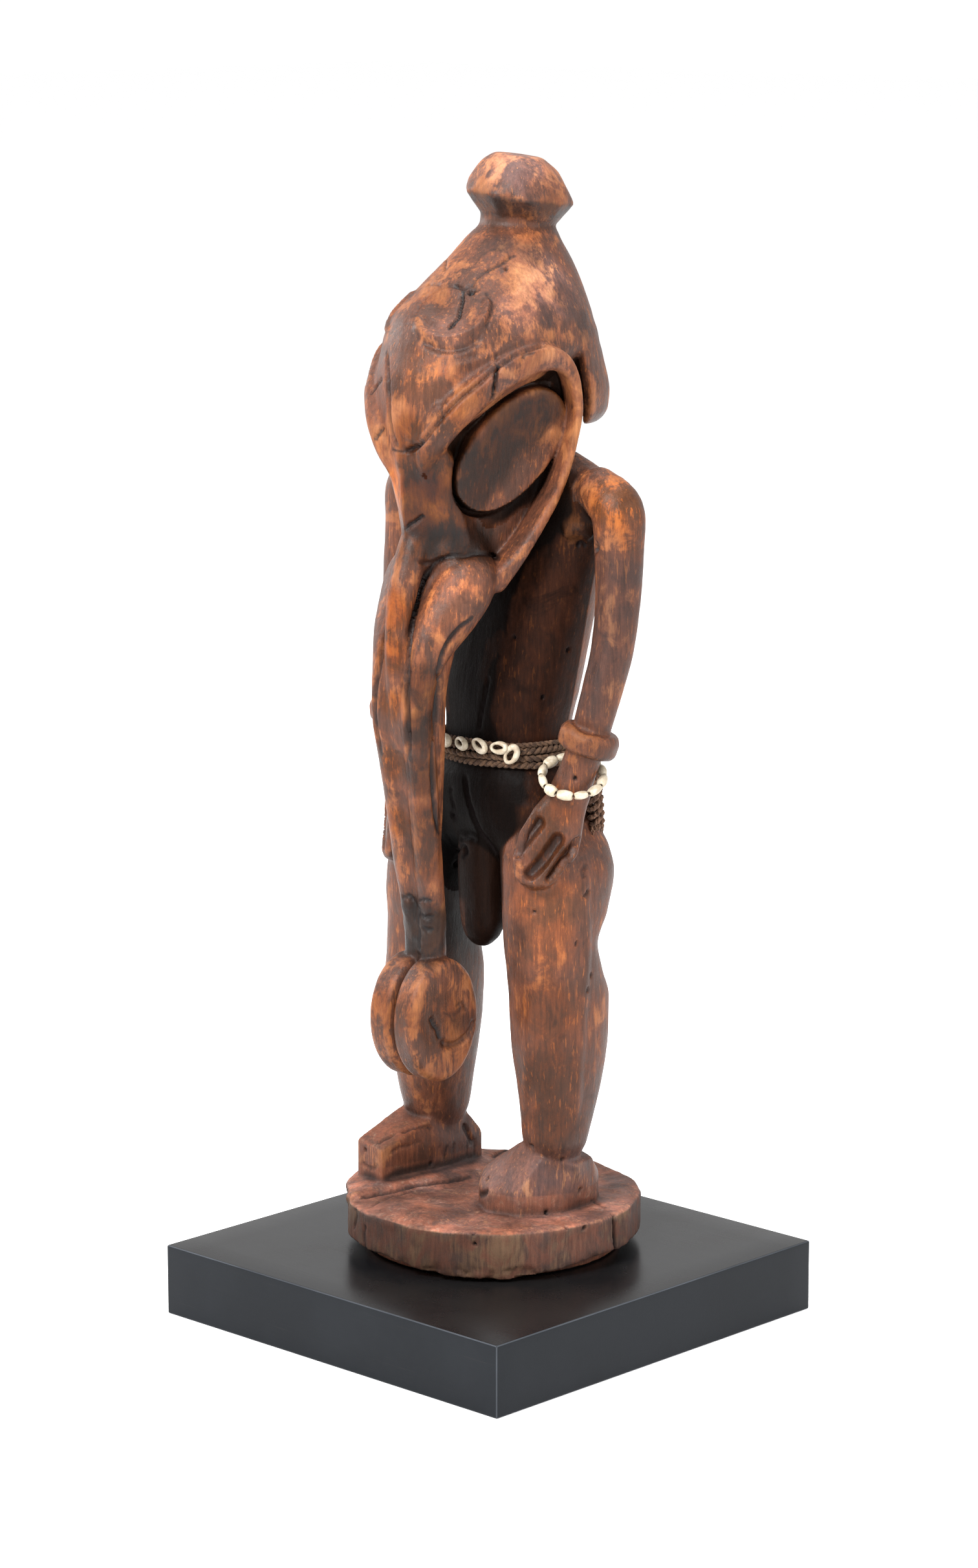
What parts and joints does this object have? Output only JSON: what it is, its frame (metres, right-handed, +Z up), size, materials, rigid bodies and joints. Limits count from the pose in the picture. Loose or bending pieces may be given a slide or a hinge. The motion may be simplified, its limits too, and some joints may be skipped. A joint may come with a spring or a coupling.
{
  "type": "sepik statuette",
  "caption": "Standing carved wooden ancestor figure with a large looped head and a long curled proboscis, on a square black plinth.",
  "frame": {"origin": "centre of the plinth's underside", "axes": "+Z up along the figure; the figure faces -Y; its own left side is +X"},
  "size_m": [0.23, 0.23, 0.5816],
  "materials": {
    "plinth": "black satin lacquer",
    "wood": "dark worn patina, red-brown on the high places",
    "fibre": "dull twisted fibre",
    "shell": "worn shell",
    "bead": "worn, slightly glossy"
  },
  "bodies": {
    "root": {"display_plinth": "plinth", "carved_figure": "wood", "fibre_belt": "fibre", "belt_knot": "fibre", "belt_shell_1": "shell", "belt_shell_2": "shell", "belt_shell_3": "shell", "belt_shell_4": "shell", "belt_shell_5": "shell", "belt_shell_6": "shell", "belt_shell_7": "shell", "bracelet_bead_01": "bead", "bracelet_bead_02": "bead", "bracelet_bead_03": "bead", "bracelet_bead_04": "bead", "bracelet_bead_05": "bead", "bracelet_bead_06": "bead", "bracelet_bead_07": "bead", "bracelet_bead_08": "bead", "bracelet_bead_09": "bead", "bracelet_bead_10": "bead", "bracelet_bead_11": "bead", "bracelet_bead_12": "bead"}
  },
  "joints": []
}
